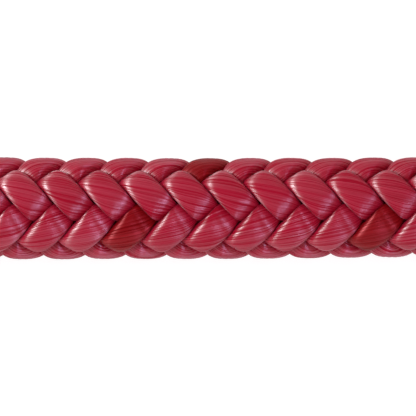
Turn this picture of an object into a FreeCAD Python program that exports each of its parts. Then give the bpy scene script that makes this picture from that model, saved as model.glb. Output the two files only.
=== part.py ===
"""Coiled dock line of 16 mm twelve-strand single braid, lying on a deck.

The bitter end runs out straight along the near side.  Past it the line enters
a flat-laid oval hank, and the spliced eye lies on top of the hank.  The rope is
hollow: six strands lay right, six lay left, and each passes over two and under two
of the other hand.  The straight stretch is built strand by strand.  The stowed
turns are one solid of their outer shape, and the splice and the eye are tubes.

Units are millimetres, +Z is up, +X runs along the line, and the origin is at the
centre of the footprint, on the surface that the line lies on.
"""

import FreeCAD
import Part

import math
import os

Vec = FreeCAD.Vector
ALONG = Vec(1, 0, 0)
UP = Vec(0, 0, 1)

# ---- driving dimensions -------------------------------------------------------
ROPE_D = 16.0                     # finished rope
ROPE_R = ROPE_D / 2
LAY = 2.5 * ROPE_D                # length in which a strand goes once round
STRANDS_EACH_WAY = 6

# section of one strand, and how far it rises and dips as it weaves
STRAND_HALF_ANGLE = math.radians(20.0)
STRAND_HALF_THICK = 1.32
WEAVE_RISE = 1.9
WEAVE_SQUARENESS = 1.3
ROW_ANGLE = math.radians(67.0)    # middle of a row where right-lay strands show
RIGHT_LAY_START = math.radians(39.6)
LEFT_LAY_START = math.radians(4.4)

# the rope's layout, all along X
FOOTPRINT_LENGTH = 21.0 * ROPE_D
TIP_X = -FOOTPRINT_LENGTH / 2
MARK_X = TIP_X + 3.6 * ROPE_D     # the strands' angles are counted from here
TIP_LENGTH = 0.15 * ROPE_D
STRANDS_X0 = TIP_X + TIP_LENGTH
STRANDS_X1 = MARK_X + 3.5 * ROPE_D

# bound bitter end
NECK_SCALE = 0.86                 # the binding squeezes the rope by this much
NECK_START_X = MARK_X - 2.25 * ROPE_D
NECK_END_X = MARK_X - 2.45 * ROPE_D
TWINE_D = 1.6
END_WRAPS = 9

# the hank: an oval ring of two columns and four rows of turns
OUTER_TURN_R = 3.5 * ROPE_D
INNER_TURN_R = 2.5 * ROPE_D
HANK_ROWS = 4
HANK_RUN = 6.5 * ROPE_D           # straight part of each side
HANK_OUTSIDE_R = OUTER_TURN_R + ROPE_R
HANK_INSIDE_R = INNER_TURN_R - ROPE_R
HANK_HEIGHT = HANK_ROWS * ROPE_D
HANK_X = -TIP_X - HANK_OUTSIDE_R - HANK_RUN / 2
LINE_Y = -OUTER_TURN_R            # the straight stretch is the first turn's near side
HANK_EDGE_R = 0.45 * ROPE_D

# the two ties that hold the hank
TIE_TWINE_D = 2.4
TIE_WRAPS = 5
TIE_WIDTH = TIE_WRAPS * TIE_TWINE_D
KNOT_SIZE = Vec(14.0, 3.4, 7.0)

# splice and eye, lying on the hank
SPLICE_D = 1.12 * ROPE_D
TOP_CLEARANCE = 0.05
THROAT_WRAPS = 8


def smooth_step(value, start, end):
    """0 before start, 1 past end, and an even curve between them."""
    share = min(max((value - start) / (end - start), 0.0), 1.0)
    return share * share * (3 - 2 * share)


def neck_scale(x):
    """The rope's radius at x, as a share of its free radius."""
    return 1 - (1 - NECK_SCALE) * smooth_step(-x, -NECK_START_X, -NECK_END_X)


# ---- braided strands ----------------------------------------------------------
def weave_level(angle, hand):
    """+1 where a strand lies on top of the braid, -1 where it dips under."""
    wave = math.tanh(WEAVE_SQUARENESS * math.cos(3 * (angle - ROW_ANGLE)))
    return hand * wave / math.tanh(WEAVE_SQUARENESS)


def strand_ring(x, hand, start_angle, count=10):
    """Points round a strand's section in the plane at x."""
    middle_radius = ROPE_R - WEAVE_RISE - STRAND_HALF_THICK
    centre_angle = start_angle + hand * 2 * math.pi * (x - MARK_X) / LAY
    scale = neck_scale(x)
    ring = []
    for i in range(count):
        turn = 2 * math.pi * i / count
        offset = STRAND_HALF_ANGLE * math.cos(turn)
        level = weave_level(centre_angle + offset / 2, hand)
        radius = middle_radius + WEAVE_RISE * level + STRAND_HALF_THICK * math.sin(turn)
        angle = centre_angle + offset
        ring.append(Vec(x, LINE_Y + scale * radius * math.cos(angle),
                        ROPE_R + scale * radius * math.sin(angle)))
    return ring


def braid_strand(hand, start_angle):
    """One strand of the straight stretch, as a closed solid with flat ends."""
    rings_per_weave = 10
    spans = round((STRANDS_X1 - STRANDS_X0) / (LAY / 3) * rings_per_weave)
    step = (STRANDS_X1 - STRANDS_X0) / spans
    poles = [strand_ring(STRANDS_X0 + i * step, hand, start_angle) for i in range(spans + 1)]
    around = len(poles[0])
    surface = Part.BSplineSurface()
    surface.buildFromPolesMultsKnots(
        poles,
        [4] + [1] * (spans - 3) + [4], [1] * (around + 1),
        list(range(spans - 1)), list(range(around + 1)),
        False, True, 3, 3)
    side = surface.toShape()
    rims = [edge for edge in side.Edges if edge.BoundBox.XLength < 1e-6]
    caps = [Part.Face(Part.Wire([rim])) for rim in rims]
    return closed_solid([side] + caps)


def closed_solid(faces):
    """A solid with its faces outward, from faces that meet all round."""
    shell = Part.makeShell(faces)
    shell.sewShape()
    solid = Part.Solid(Part.Shell(shell.Faces))
    if solid.Volume < 0:
        solid.reverse()
    return solid


# ---- pieces of revolution round the rope --------------------------------------
def wrapped_twine(radius, wraps, twine_d):
    """Side-by-side wraps of twine round +X from x = 0, on a core of the given radius."""
    half = twine_d / 2
    edges = []
    for i in range(wraps):
        start = Vec(i * twine_d, radius + half, 0)
        crest = Vec((i + 0.5) * twine_d, radius + twine_d, 0)
        end = Vec((i + 1) * twine_d, radius + half, 0)
        edges.append(Part.Arc(start, crest, end).toShape())
    length = wraps * twine_d
    corners = [Vec(length, radius + half, 0), Vec(length, radius, 0),
               Vec(0, radius, 0), Vec(0, radius + half, 0)]
    edges += [Part.LineSegment(a, b).toShape() for a, b in zip(corners, corners[1:])]
    return Part.Face(Part.Wire(edges)).revolve(Vec(0, 0, 0), ALONG, 360)


def bitter_end_whipping():
    """Waxed twine round the end.  Its wraps are as wide as the free rope."""
    length = END_WRAPS * TWINE_D
    core = ROPE_R - TWINE_D
    binding = wrapped_twine(core, END_WRAPS, TWINE_D)
    bore = Part.makeCylinder(ROPE_R * NECK_SCALE + 0.05, length, Vec(0, 0, 0), ALONG)
    binding = binding.cut(bore)
    binding.translate(Vec(NECK_END_X - length, LINE_Y, ROPE_R))
    return binding


def bitter_end_tip():
    """The heat-sealed face that closes the cut strands."""
    radius = ROPE_R * NECK_SCALE
    tip = Part.makeCylinder(radius, TIP_LENGTH, Vec(TIP_X, LINE_Y, ROPE_R), ALONG)
    rim = [edge for edge in tip.Edges if abs(edge.BoundBox.Center.x - TIP_X) < 1e-6]
    return tip.makeFillet(0.8 * TIP_LENGTH, rim)


# ---- hank ---------------------------------------------------------------------
def oval_face(end_radius, z):
    """A flat oval round the hank's middle, with the given end radius."""
    half = HANK_RUN / 2
    near_left = Vec(HANK_X - half, -end_radius, z)
    near_right = Vec(HANK_X + half, -end_radius, z)
    far_right = Vec(HANK_X + half, end_radius, z)
    far_left = Vec(HANK_X - half, end_radius, z)
    right_end = Vec(HANK_X + half + end_radius, 0, z)
    left_end = Vec(HANK_X - half - end_radius, 0, z)
    edges = [Part.LineSegment(near_left, near_right), Part.Arc(near_right, right_end, far_right),
             Part.LineSegment(far_right, far_left), Part.Arc(far_left, left_end, near_left)]
    return Part.Face(Part.Wire([edge.toShape() for edge in edges]))


def hank_ring():
    """The outer shape of the stowed turns: an oval ring with soft edges."""
    outside = oval_face(HANK_OUTSIDE_R, 0).extrude(UP * HANK_HEIGHT)
    inside = oval_face(HANK_INSIDE_R, 0).extrude(UP * HANK_HEIGHT)
    ring = outside.cut(inside)
    rims = [edge for edge in ring.Edges if edge.BoundBox.ZLength < 1e-6]
    return ring.makeFillet(HANK_EDGE_R, rims)


def rounded_box(size_x, size_y, size_z, edge_radius):
    """A box centred on the origin with its four edges along X rounded."""
    box = Part.makeBox(size_x, size_y, size_z, Vec(-size_x / 2, -size_y / 2, -size_z / 2))
    along = [edge for edge in box.Edges if edge.BoundBox.XLength > size_x / 2]
    return box.makeFillet(edge_radius, along)


def hank_tie(side):
    """Twine wrapped round one side of the hank, let into it by its own thickness."""
    depth = OUTER_TURN_R - INNER_TURN_R + ROPE_D
    outer = rounded_box(TIE_WIDTH, depth, HANK_HEIGHT, HANK_EDGE_R)
    inner = rounded_box(2 * TIE_WIDTH, depth - 2 * TIE_TWINE_D, HANK_HEIGHT - 2 * TIE_TWINE_D,
                        HANK_EDGE_R - TIE_TWINE_D)
    tie = outer.cut(inner)
    tie.translate(Vec(HANK_X, side * (OUTER_TURN_R + INNER_TURN_R) / 2, HANK_HEIGHT / 2))
    return tie


def tie_knot(side):
    """The reef knot of a tie, half-way up the outer face of the hank."""
    knot = Part.makeSphere(1.0)
    stretch = FreeCAD.Matrix()
    stretch.scale(KNOT_SIZE.x / 2, KNOT_SIZE.y / 2, KNOT_SIZE.z / 2)
    knot = knot.transformGeometry(stretch)
    knot.translate(Vec(HANK_X, side * (HANK_OUTSIDE_R + KNOT_SIZE.y / 2), HANK_HEIGHT / 2))
    return knot


# ---- tubes --------------------------------------------------------------------
def rounded_path(points):
    """Straight runs joined by tangent arcs, each arc as large as its runs allow."""
    edges, radii = [], []
    here = points[0]
    for before, corner, after in zip(points, points[1:], points[2:]):
        into, out = corner - before, after - corner
        half_turn = into.getAngle(out) / 2
        cut = 0.45 * min(into.Length, out.Length)
        radii.append(cut / math.tan(half_turn))
        into.normalize()
        out.normalize()
        arc_start = corner - into * cut
        arc_end = corner + out * cut
        inward = out - into
        inward.normalize()
        sagitta = radii[-1] * (1 / math.cos(half_turn) - 1)
        edges.append(Part.LineSegment(here, arc_start).toShape())
        edges.append(Part.Arc(arc_start, corner + inward * sagitta, arc_end).toShape())
        here = arc_end
    edges.append(Part.LineSegment(here, points[-1]).toShape())
    return Part.Wire(edges), radii


def tube(name, points, diameter):
    """A round tube along rounded runs, with its bend radii and volume checked."""
    wire, radii = rounded_path(points)
    section = Part.Wire([Part.Circle(points[0], points[1] - points[0], diameter / 2).toShape()])
    solid = wire.makePipeShell([section], True, False)
    expected = math.pi * diameter ** 2 / 4 * wire.Length
    print(f"{name}: length {wire.Length:.0f}, bends {[round(r) for r in radii]}, "
          f"volume / (section x length) {solid.Volume / expected:.3f}")
    return solid


def on_hank(x, y, z, diameter=ROPE_D):
    """A point in rope diameters from the hank's middle; z counts from its top."""
    resting = HANK_HEIGHT + TOP_CLEARANCE + diameter / 2
    return Vec(HANK_X + x * ROPE_D, y * ROPE_D, resting + z * ROPE_D)


# The last turn climbs out of the hank at the near side and goes round its outer edge.
TOP_TURN_POINTS = [
    on_hank(-3.4, -3.5, -0.86), on_hank(-1.6, -3.5, -0.52), on_hank(0.6, -3.45, 0.0),
    on_hank(2.4, -3.5, 0.0), on_hank(4.45, -3.4, 0.0), on_hank(6.05, -2.3, 0.0),
    on_hank(6.8, -0.55, 0.0), on_hank(6.65, 1.3, 0.0),
]

# The splice follows it round the far side and the left end, to the throat of the eye.
SPLICE_POINTS = [
    on_hank(6.65, 1.3, 0.0, SPLICE_D), on_hank(5.35, 2.85, 0.0, SPLICE_D),
    on_hank(3.3, 3.45, 0.0, SPLICE_D), on_hank(0.6, 3.42, 0.0, SPLICE_D),
    on_hank(-2.0, 3.46, 0.0, SPLICE_D), on_hank(-4.4, 3.3, 0.0, SPLICE_D),
    on_hank(-6.1, 2.15, 0.0, SPLICE_D), on_hank(-6.85, 0.35, 0.0, SPLICE_D),
    on_hank(-6.4, -1.5, 0.04, SPLICE_D), on_hank(-5.0, -2.6, 0.11, SPLICE_D),
    on_hank(-3.4, -2.75, 0.12, SPLICE_D),
]
THROAT = SPLICE_POINTS[-1]

# The eye's two legs leave the throat and meet in the bight at the right end.
EYE_NEAR_LEG = [
    THROAT, on_hank(-1.9, -2.6, 0.06), on_hank(0.4, -2.35, 0.0), on_hank(2.6, -2.42, 0.0),
    on_hank(4.45, -1.95, 0.0), on_hank(5.4, -0.5, 0.0), on_hank(5.4, 0.4, 0.0),
]
EYE_FAR_LEG = [
    THROAT, on_hank(-2.0, -1.75, 0.06), on_hank(-1.3, -0.6, 0.0), on_hank(-0.7, 0.75, 0.0),
    on_hank(0.3, 1.95, 0.0), on_hank(2.1, 2.3, 0.0), on_hank(3.95, 2.25, 0.0),
    on_hank(5.2, 1.3, 0.0), on_hank(5.4, 0.4, 0.0),
]


def throat_whipping():
    """Waxed twine round the splice where the eye's two legs part."""
    core = SPLICE_D / 2
    binding = wrapped_twine(core, THROAT_WRAPS, TWINE_D)
    heading = THROAT - SPLICE_POINTS[-2]
    heading.normalize()
    binding.translate(Vec(-THROAT_WRAPS * TWINE_D, 0, 0))
    turn = FreeCAD.Rotation(ALONG, heading)
    binding.Placement = FreeCAD.Placement(THROAT, turn).multiply(binding.Placement)
    return binding


def build():
    """Every piece of the line, by node name."""
    parts = {}
    for i in range(STRANDS_EACH_WAY):
        turn = 2 * math.pi * i / STRANDS_EACH_WAY
        parts[f"right_lay_strand_{i + 1}"] = braid_strand(1, RIGHT_LAY_START + turn)
        left_name = f"left_lay_strand_{i}" if i else "tracer_strand"
        parts[left_name] = braid_strand(-1, LEFT_LAY_START + turn)

    parts["bitter_end_whipping"] = bitter_end_whipping()
    parts["bitter_end_tip"] = bitter_end_tip()

    ring = hank_ring()
    lead_length = HANK_X - HANK_RUN / 2 - STRANDS_X1
    lead = Part.makeCylinder(ROPE_R, lead_length, Vec(STRANDS_X1, LINE_Y, ROPE_R), ALONG)
    parts["lead_in"] = lead.cut(ring)

    parts["tie_near"], parts["tie_far"] = hank_tie(-1), hank_tie(1)
    parts["tie_knot_near"], parts["tie_knot_far"] = tie_knot(-1), tie_knot(1)
    parts["hank"] = ring.cut(parts["tie_near"]).cut(parts["tie_far"])

    parts["splice"] = tube("splice", SPLICE_POINTS, SPLICE_D)
    parts["throat_whipping"] = throat_whipping()
    top_turn = tube("top_turn", TOP_TURN_POINTS, ROPE_D)
    parts["top_turn"] = top_turn.cut(ring).cut(parts["splice"])
    near_leg = tube("eye near leg", EYE_NEAR_LEG, ROPE_D)
    far_leg = tube("eye far leg", EYE_FAR_LEG, ROPE_D)
    parts["eye_loop"] = near_leg.fuse(far_leg).cut(parts["splice"]).cut(parts["throat_whipping"])
    return parts


def main():
    """Build the pieces and write one STEP file for each."""
    os.makedirs("parts", exist_ok=True)
    for name, shape in build().items():
        box = shape.optimalBoundingBox()
        print(f"{name}: solids {len(shape.Solids)}, valid {shape.isValid()}, volume {shape.Volume:.0f}, "
              f"x {box.XMin:.1f}..{box.XMax:.1f}, y {box.YMin:.1f}..{box.YMax:.1f}, "
              f"z {box.ZMin:.1f}..{box.ZMax:.1f}")
        shape.exportStep(f"parts/{name}.step")


main()
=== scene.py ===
"""Looks of a coiled dock line: a hollow single braid of twelve strands.

The bitter end lies straight, the rest of the line is stowed in a tied oval hank, and
the spliced eye lies on top.  Every strand of the braid is its own mesh along the whole
line.  All sizes are metres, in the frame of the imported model.
"""

from __future__ import annotations

import logging
import math
from dataclasses import dataclass
from enum import Enum

import bpy
import numpy as np
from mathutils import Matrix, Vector

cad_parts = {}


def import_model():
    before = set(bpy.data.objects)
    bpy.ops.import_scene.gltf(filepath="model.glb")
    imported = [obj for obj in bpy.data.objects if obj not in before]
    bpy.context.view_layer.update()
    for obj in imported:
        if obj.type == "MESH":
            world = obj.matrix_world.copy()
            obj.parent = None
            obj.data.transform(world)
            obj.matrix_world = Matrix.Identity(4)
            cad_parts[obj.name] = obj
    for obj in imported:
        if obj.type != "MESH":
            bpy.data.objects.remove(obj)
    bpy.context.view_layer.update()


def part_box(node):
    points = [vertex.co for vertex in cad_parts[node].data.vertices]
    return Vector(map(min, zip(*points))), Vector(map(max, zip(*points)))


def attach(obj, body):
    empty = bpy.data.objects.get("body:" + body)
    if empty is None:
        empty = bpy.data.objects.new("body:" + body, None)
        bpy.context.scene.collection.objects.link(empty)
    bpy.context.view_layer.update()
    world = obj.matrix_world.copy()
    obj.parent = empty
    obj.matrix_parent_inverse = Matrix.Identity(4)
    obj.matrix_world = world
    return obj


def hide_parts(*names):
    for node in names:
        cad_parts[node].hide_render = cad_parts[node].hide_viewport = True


log = logging.getLogger("dock_line")


class Hand(Enum):
    """Which way a strand winds round the rope, as the sign of its turn."""

    RIGHT = 1
    LEFT = -1


def smooth_step(value: float) -> float:
    """0 below 0, 1 above 1, and an even curve between them."""
    share = min(max(value, 0.0), 1.0)
    return share * share * (3 - 2 * share)


# ---------------------------------------------------------------------- node helpers
class Quantity:
    """A number or vector that a node tree works out, written like arithmetic."""

    def __init__(self, tree: bpy.types.NodeTree, socket: bpy.types.NodeSocket | float) -> None:
        """Keep the tree and the socket, or plain number, that holds the value.

        Args:
            tree: The tree that new nodes are added to.
            socket: An output socket or a constant.
        """
        self.tree = tree
        self.socket = socket

    def link(self, target: bpy.types.NodeSocket) -> None:
        """Feed this value into an input socket."""
        if isinstance(self.socket, (int, float)):
            target.default_value = self.socket
        else:
            self.tree.links.new(self.socket, target)

    def math(self, operation: str, other: "Quantity | float | None" = None) -> "Quantity":
        """A Math node on this value.

        Args:
            operation: The node's operation.
            other: The second operand, if the operation has one.

        Returns:
            The node's result.
        """
        node = self.tree.nodes.new("ShaderNodeMath")
        node.operation = operation
        self.link(node.inputs[0])
        if other is not None:
            wrap(self.tree, other).link(node.inputs[1])
        return Quantity(self.tree, node.outputs[0])

    def __add__(self, other: "Quantity | float") -> "Quantity":
        """This plus other."""
        return self.math("ADD", other)

    def __sub__(self, other: "Quantity | float") -> "Quantity":
        """This minus other."""
        return self.math("SUBTRACT", other)

    def __mul__(self, other: "Quantity | float") -> "Quantity":
        """This times other."""
        return self.math("MULTIPLY", other)

    def __truediv__(self, other: "Quantity | float") -> "Quantity":
        """This over other."""
        return self.math("DIVIDE", other)

    def cos(self) -> "Quantity":
        """Its cosine."""
        return self.math("COSINE")

    def sin(self) -> "Quantity":
        """Its sine."""
        return self.math("SINE")

    def tanh(self) -> "Quantity":
        """Its hyperbolic tangent."""
        return self.math("TANH")

    def squared_off(self, power: float) -> "Quantity":
        """Its size raised to a power, with its sign kept."""
        return self.math("ABSOLUTE").math("POWER", power) * self.math("SIGN")


def wrap(tree: bpy.types.NodeTree, value: "Quantity | bpy.types.NodeSocket | float") -> Quantity:
    """The value as a Quantity of this tree."""
    return value if isinstance(value, Quantity) else Quantity(tree, value)


def vector(tree: bpy.types.NodeTree, x: Quantity | float, y: Quantity | float,
           z: Quantity | float) -> bpy.types.NodeSocket:
    """A vector socket made of three numbers.

    Args:
        tree: The tree that gets the nodes.
        x: The first number.
        y: The second number.
        z: The third number.

    Returns:
        The vector's socket.
    """
    node = tree.nodes.new("ShaderNodeCombineXYZ")
    for part, target in zip((x, y, z), node.inputs):
        wrap(tree, part).link(target)
    return node.outputs[0]


def vector_math(tree: bpy.types.NodeTree, operation: str, first: bpy.types.NodeSocket,
                second: bpy.types.NodeSocket | None = None,
                scale: Quantity | None = None) -> bpy.types.NodeSocket:
    """A Vector Math node.

    Args:
        tree: The tree that gets the node.
        operation: The node's operation.
        first: The first vector.
        second: The second vector, if the operation has one.
        scale: The factor of a SCALE.

    Returns:
        The resulting vector's socket.
    """
    node = tree.nodes.new("ShaderNodeVectorMath")
    node.operation = operation
    tree.links.new(first, node.inputs[0])
    if second is not None:
        tree.links.new(second, node.inputs[1])
    if scale is not None:
        scale.link(node.inputs["Scale"])
    return node.outputs[0]


def new_geometry_tree(name: str, numbers: dict[str, str]) -> tuple[bpy.types.NodeTree, dict]:
    """A Geometry Nodes tree with named inputs.

    Args:
        name: The tree's name.
        numbers: Each input's name and socket type.

    Returns:
        The tree, and its inputs as sockets by name.
    """
    tree = bpy.data.node_groups.new(name, "GeometryNodeTree")
    tree.interface.new_socket("Geometry", in_out="OUTPUT", socket_type="NodeSocketGeometry")
    for label, kind in numbers.items():
        tree.interface.new_socket(label, in_out="INPUT", socket_type=kind)
    group_in = tree.nodes.new("NodeGroupInput")
    return tree, {label: group_in.outputs[label] for label in numbers}


def store(tree: bpy.types.NodeTree, geometry: bpy.types.NodeSocket, name: str, value: Quantity,
          kind: str = "FLOAT", domain: str = "POINT") -> bpy.types.NodeSocket:
    """Store a value on the geometry.

    Args:
        tree: The tree that gets the node.
        geometry: The geometry.
        name: The attribute's name.
        value: What is stored.
        kind: The attribute's data type.
        domain: What it is stored on.

    Returns:
        The geometry with the attribute.
    """
    node = tree.nodes.new("GeometryNodeStoreNamedAttribute")
    node.data_type = kind
    node.domain = domain
    node.inputs["Name"].default_value = name
    tree.links.new(geometry, node.inputs["Geometry"])
    value.link(node.inputs["Value"])
    return node.outputs["Geometry"]


def named(tree: bpy.types.NodeTree, name: str) -> Quantity:
    """A stored number.

    Args:
        tree: The tree that gets the nodes.
        name: The attribute's name.

    Returns:
        The number.
    """
    node = tree.nodes.new("GeometryNodeInputNamedAttribute")
    node.inputs["Name"].default_value = name
    return Quantity(tree, node.outputs["Attribute"])


def ring_turn(tree: bpy.types.NodeTree, name: str) -> Quantity:
    """A stored turn round a tube, carried past 1 on the faces that close the ring.

    Args:
        tree: The tree that gets the nodes.
        name: The attribute's name.

    Returns:
        The turn at each corner of a face.
    """
    middle = tree.nodes.new("GeometryNodeFieldOnDomain")
    middle.data_type = "FLOAT"
    middle.domain = "FACE"
    turn = named(tree, name)
    turn.link(middle.inputs[0])
    return turn + (wrap(tree, middle.outputs[0]) - turn).math("GREATER_THAN", 0.25)


def smooth_sides(tree: bpy.types.NodeTree, geometry: bpy.types.NodeSocket) -> bpy.types.NodeSocket:
    """Shade a tube's sides smooth and keep its end faces flat.

    Args:
        tree: The tree that gets the nodes.
        geometry: The tube.

    Returns:
        The shaded tube.
    """
    faces = tree.nodes.new("GeometryNodeInputMeshFaceNeighbors")
    smooth = tree.nodes.new("GeometryNodeSetShadeSmooth")
    sides = wrap(tree, faces.outputs["Vertex Count"]).math("LESS_THAN", 4.5)
    tree.links.new(geometry, smooth.inputs["Geometry"])
    sides.link(smooth.inputs["Shade Smooth"])
    return smooth.outputs["Geometry"]


def finish_tree(tree: bpy.types.NodeTree, geometry: bpy.types.NodeSocket,
                material: bpy.types.NodeSocket) -> None:
    """End a tree in Realize Instances and Set Material.

    Args:
        tree: The tree.
        geometry: What it has made.
        material: The finish.
    """
    realize = tree.nodes.new("GeometryNodeRealizeInstances")
    dress = tree.nodes.new("GeometryNodeSetMaterial")
    out = tree.nodes.new("NodeGroupOutput")
    tree.links.new(geometry, realize.inputs["Geometry"])
    tree.links.new(realize.outputs["Geometry"], dress.inputs["Geometry"])
    tree.links.new(material, dress.inputs["Material"])
    tree.links.new(dress.outputs["Geometry"], out.inputs["Geometry"])


def mesh_from_tree(name: str, tree: bpy.types.NodeTree, values: dict[str, object]) -> bpy.types.Object:
    """A plain mesh object made by a Geometry Nodes tree.

    Args:
        name: The finished object's name.
        tree: The tree to run.
        values: The tree's inputs by name.

    Returns:
        The object, at the origin, with no modifier left on it.
    """
    base = bpy.data.objects.new(name + "_base", bpy.data.meshes.new(name + "_base"))
    bpy.context.scene.collection.objects.link(base)
    modifier = base.modifiers.new("build", "NODES")
    modifier.node_group = tree
    for item in tree.interface.items_tree:
        if item.in_out == "INPUT" and item.name in values:
            modifier[item.identifier] = values[item.name]
    bpy.context.view_layer.update()
    evaluated = base.evaluated_get(bpy.context.evaluated_depsgraph_get())
    mesh = bpy.data.meshes.new_from_object(evaluated)
    base.modifiers.remove(modifier)
    bpy.data.objects.remove(base, do_unlink=True)
    mesh.name = name
    piece = bpy.data.objects.new(name, mesh)
    bpy.context.scene.collection.objects.link(piece)
    return piece


# ------------------------------------------------------------------------ the layout
@dataclass(frozen=True)
class Layout:
    """Where the line lies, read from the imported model."""

    diameter: float
    tip_x: float
    line_y: float
    hank_x: float
    hank_half_run: float
    hank_top: float

    @classmethod
    def from_frame(cls) -> "Layout":
        """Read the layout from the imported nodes' boxes.

        Returns:
            The layout.
        """
        lead_low, lead_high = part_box("lead_in")
        hank_low, hank_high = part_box("hank")
        tip_low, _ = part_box("bitter_end_tip")
        diameter = lead_high[2] - lead_low[2]
        length, width = hank_high[0] - hank_low[0], hank_high[1] - hank_low[1]
        return cls(diameter, tip_low[0], hank_low[1] + diameter / 2,
                   (hank_low[0] + hank_high[0]) / 2, (length - width) / 2, hank_high[2])

    @property
    def mark_x(self) -> float:
        """Where the strands' angles are counted from."""
        return self.tip_x + 3.6 * self.diameter

    @property
    def mark(self) -> Vector:
        """The point of the rope's axis at the mark."""
        return Vector((self.mark_x, self.line_y, self.diameter / 2))

    def on_hank(self, x: float, y: float, z: float, girth: float = 1.0) -> Vector:
        """A point over the hank.

        Args:
            x: Rope diameters along the line from the hank's middle.
            y: Rope diameters across it.
            z: Rope diameters above a rope that rests on the hank.
            girth: The resting rope's diameter, in diameters of the free rope.

        Returns:
            The point, in metres.
        """
        clearance = 0.00005
        d = self.diameter
        return Vector((self.hank_x + x * d, y * d, self.hank_top + clearance + (girth / 2 + z) * d))


@dataclass(frozen=True)
class Stowage:
    """How the turns of the hank are stacked: two columns, in rope diameters."""

    outer_radius: float = 3.5
    inner_radius: float = 2.5
    climbs: int = 8
    stations: int = 20
    coiled_steps: int = 143
    squeeze: float = 0.14

    def slot(self, lap: float) -> tuple[float, float]:
        """The radius and height of the rope's axis, in diameters.

        Each change of place comes an eighth of a turn earlier than the one before,
        so that the turns never meet.

        Args:
            lap: Turns since the rope entered the hank.

        Returns:
            The radius of the turn's ends, and the height over the deck.
        """
        place = sum(smooth_step((lap - 7 * climb / 8 - 1 / 16) * 8 + 0.5)
                    for climb in range(1, self.climbs + 1))
        low = math.floor(place)
        share = place - low
        radius, height = self.place(low)
        next_radius, next_height = self.place(low + 1)
        return radius + share * (next_radius - radius), height + share * (next_height - height)

    def place(self, index: int) -> tuple[float, float]:
        """The radius and height of one place in the stack."""
        outer = index % 4 in (0, 3)
        return (self.outer_radius if outer else self.inner_radius), index // 2 + 0.5


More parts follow.
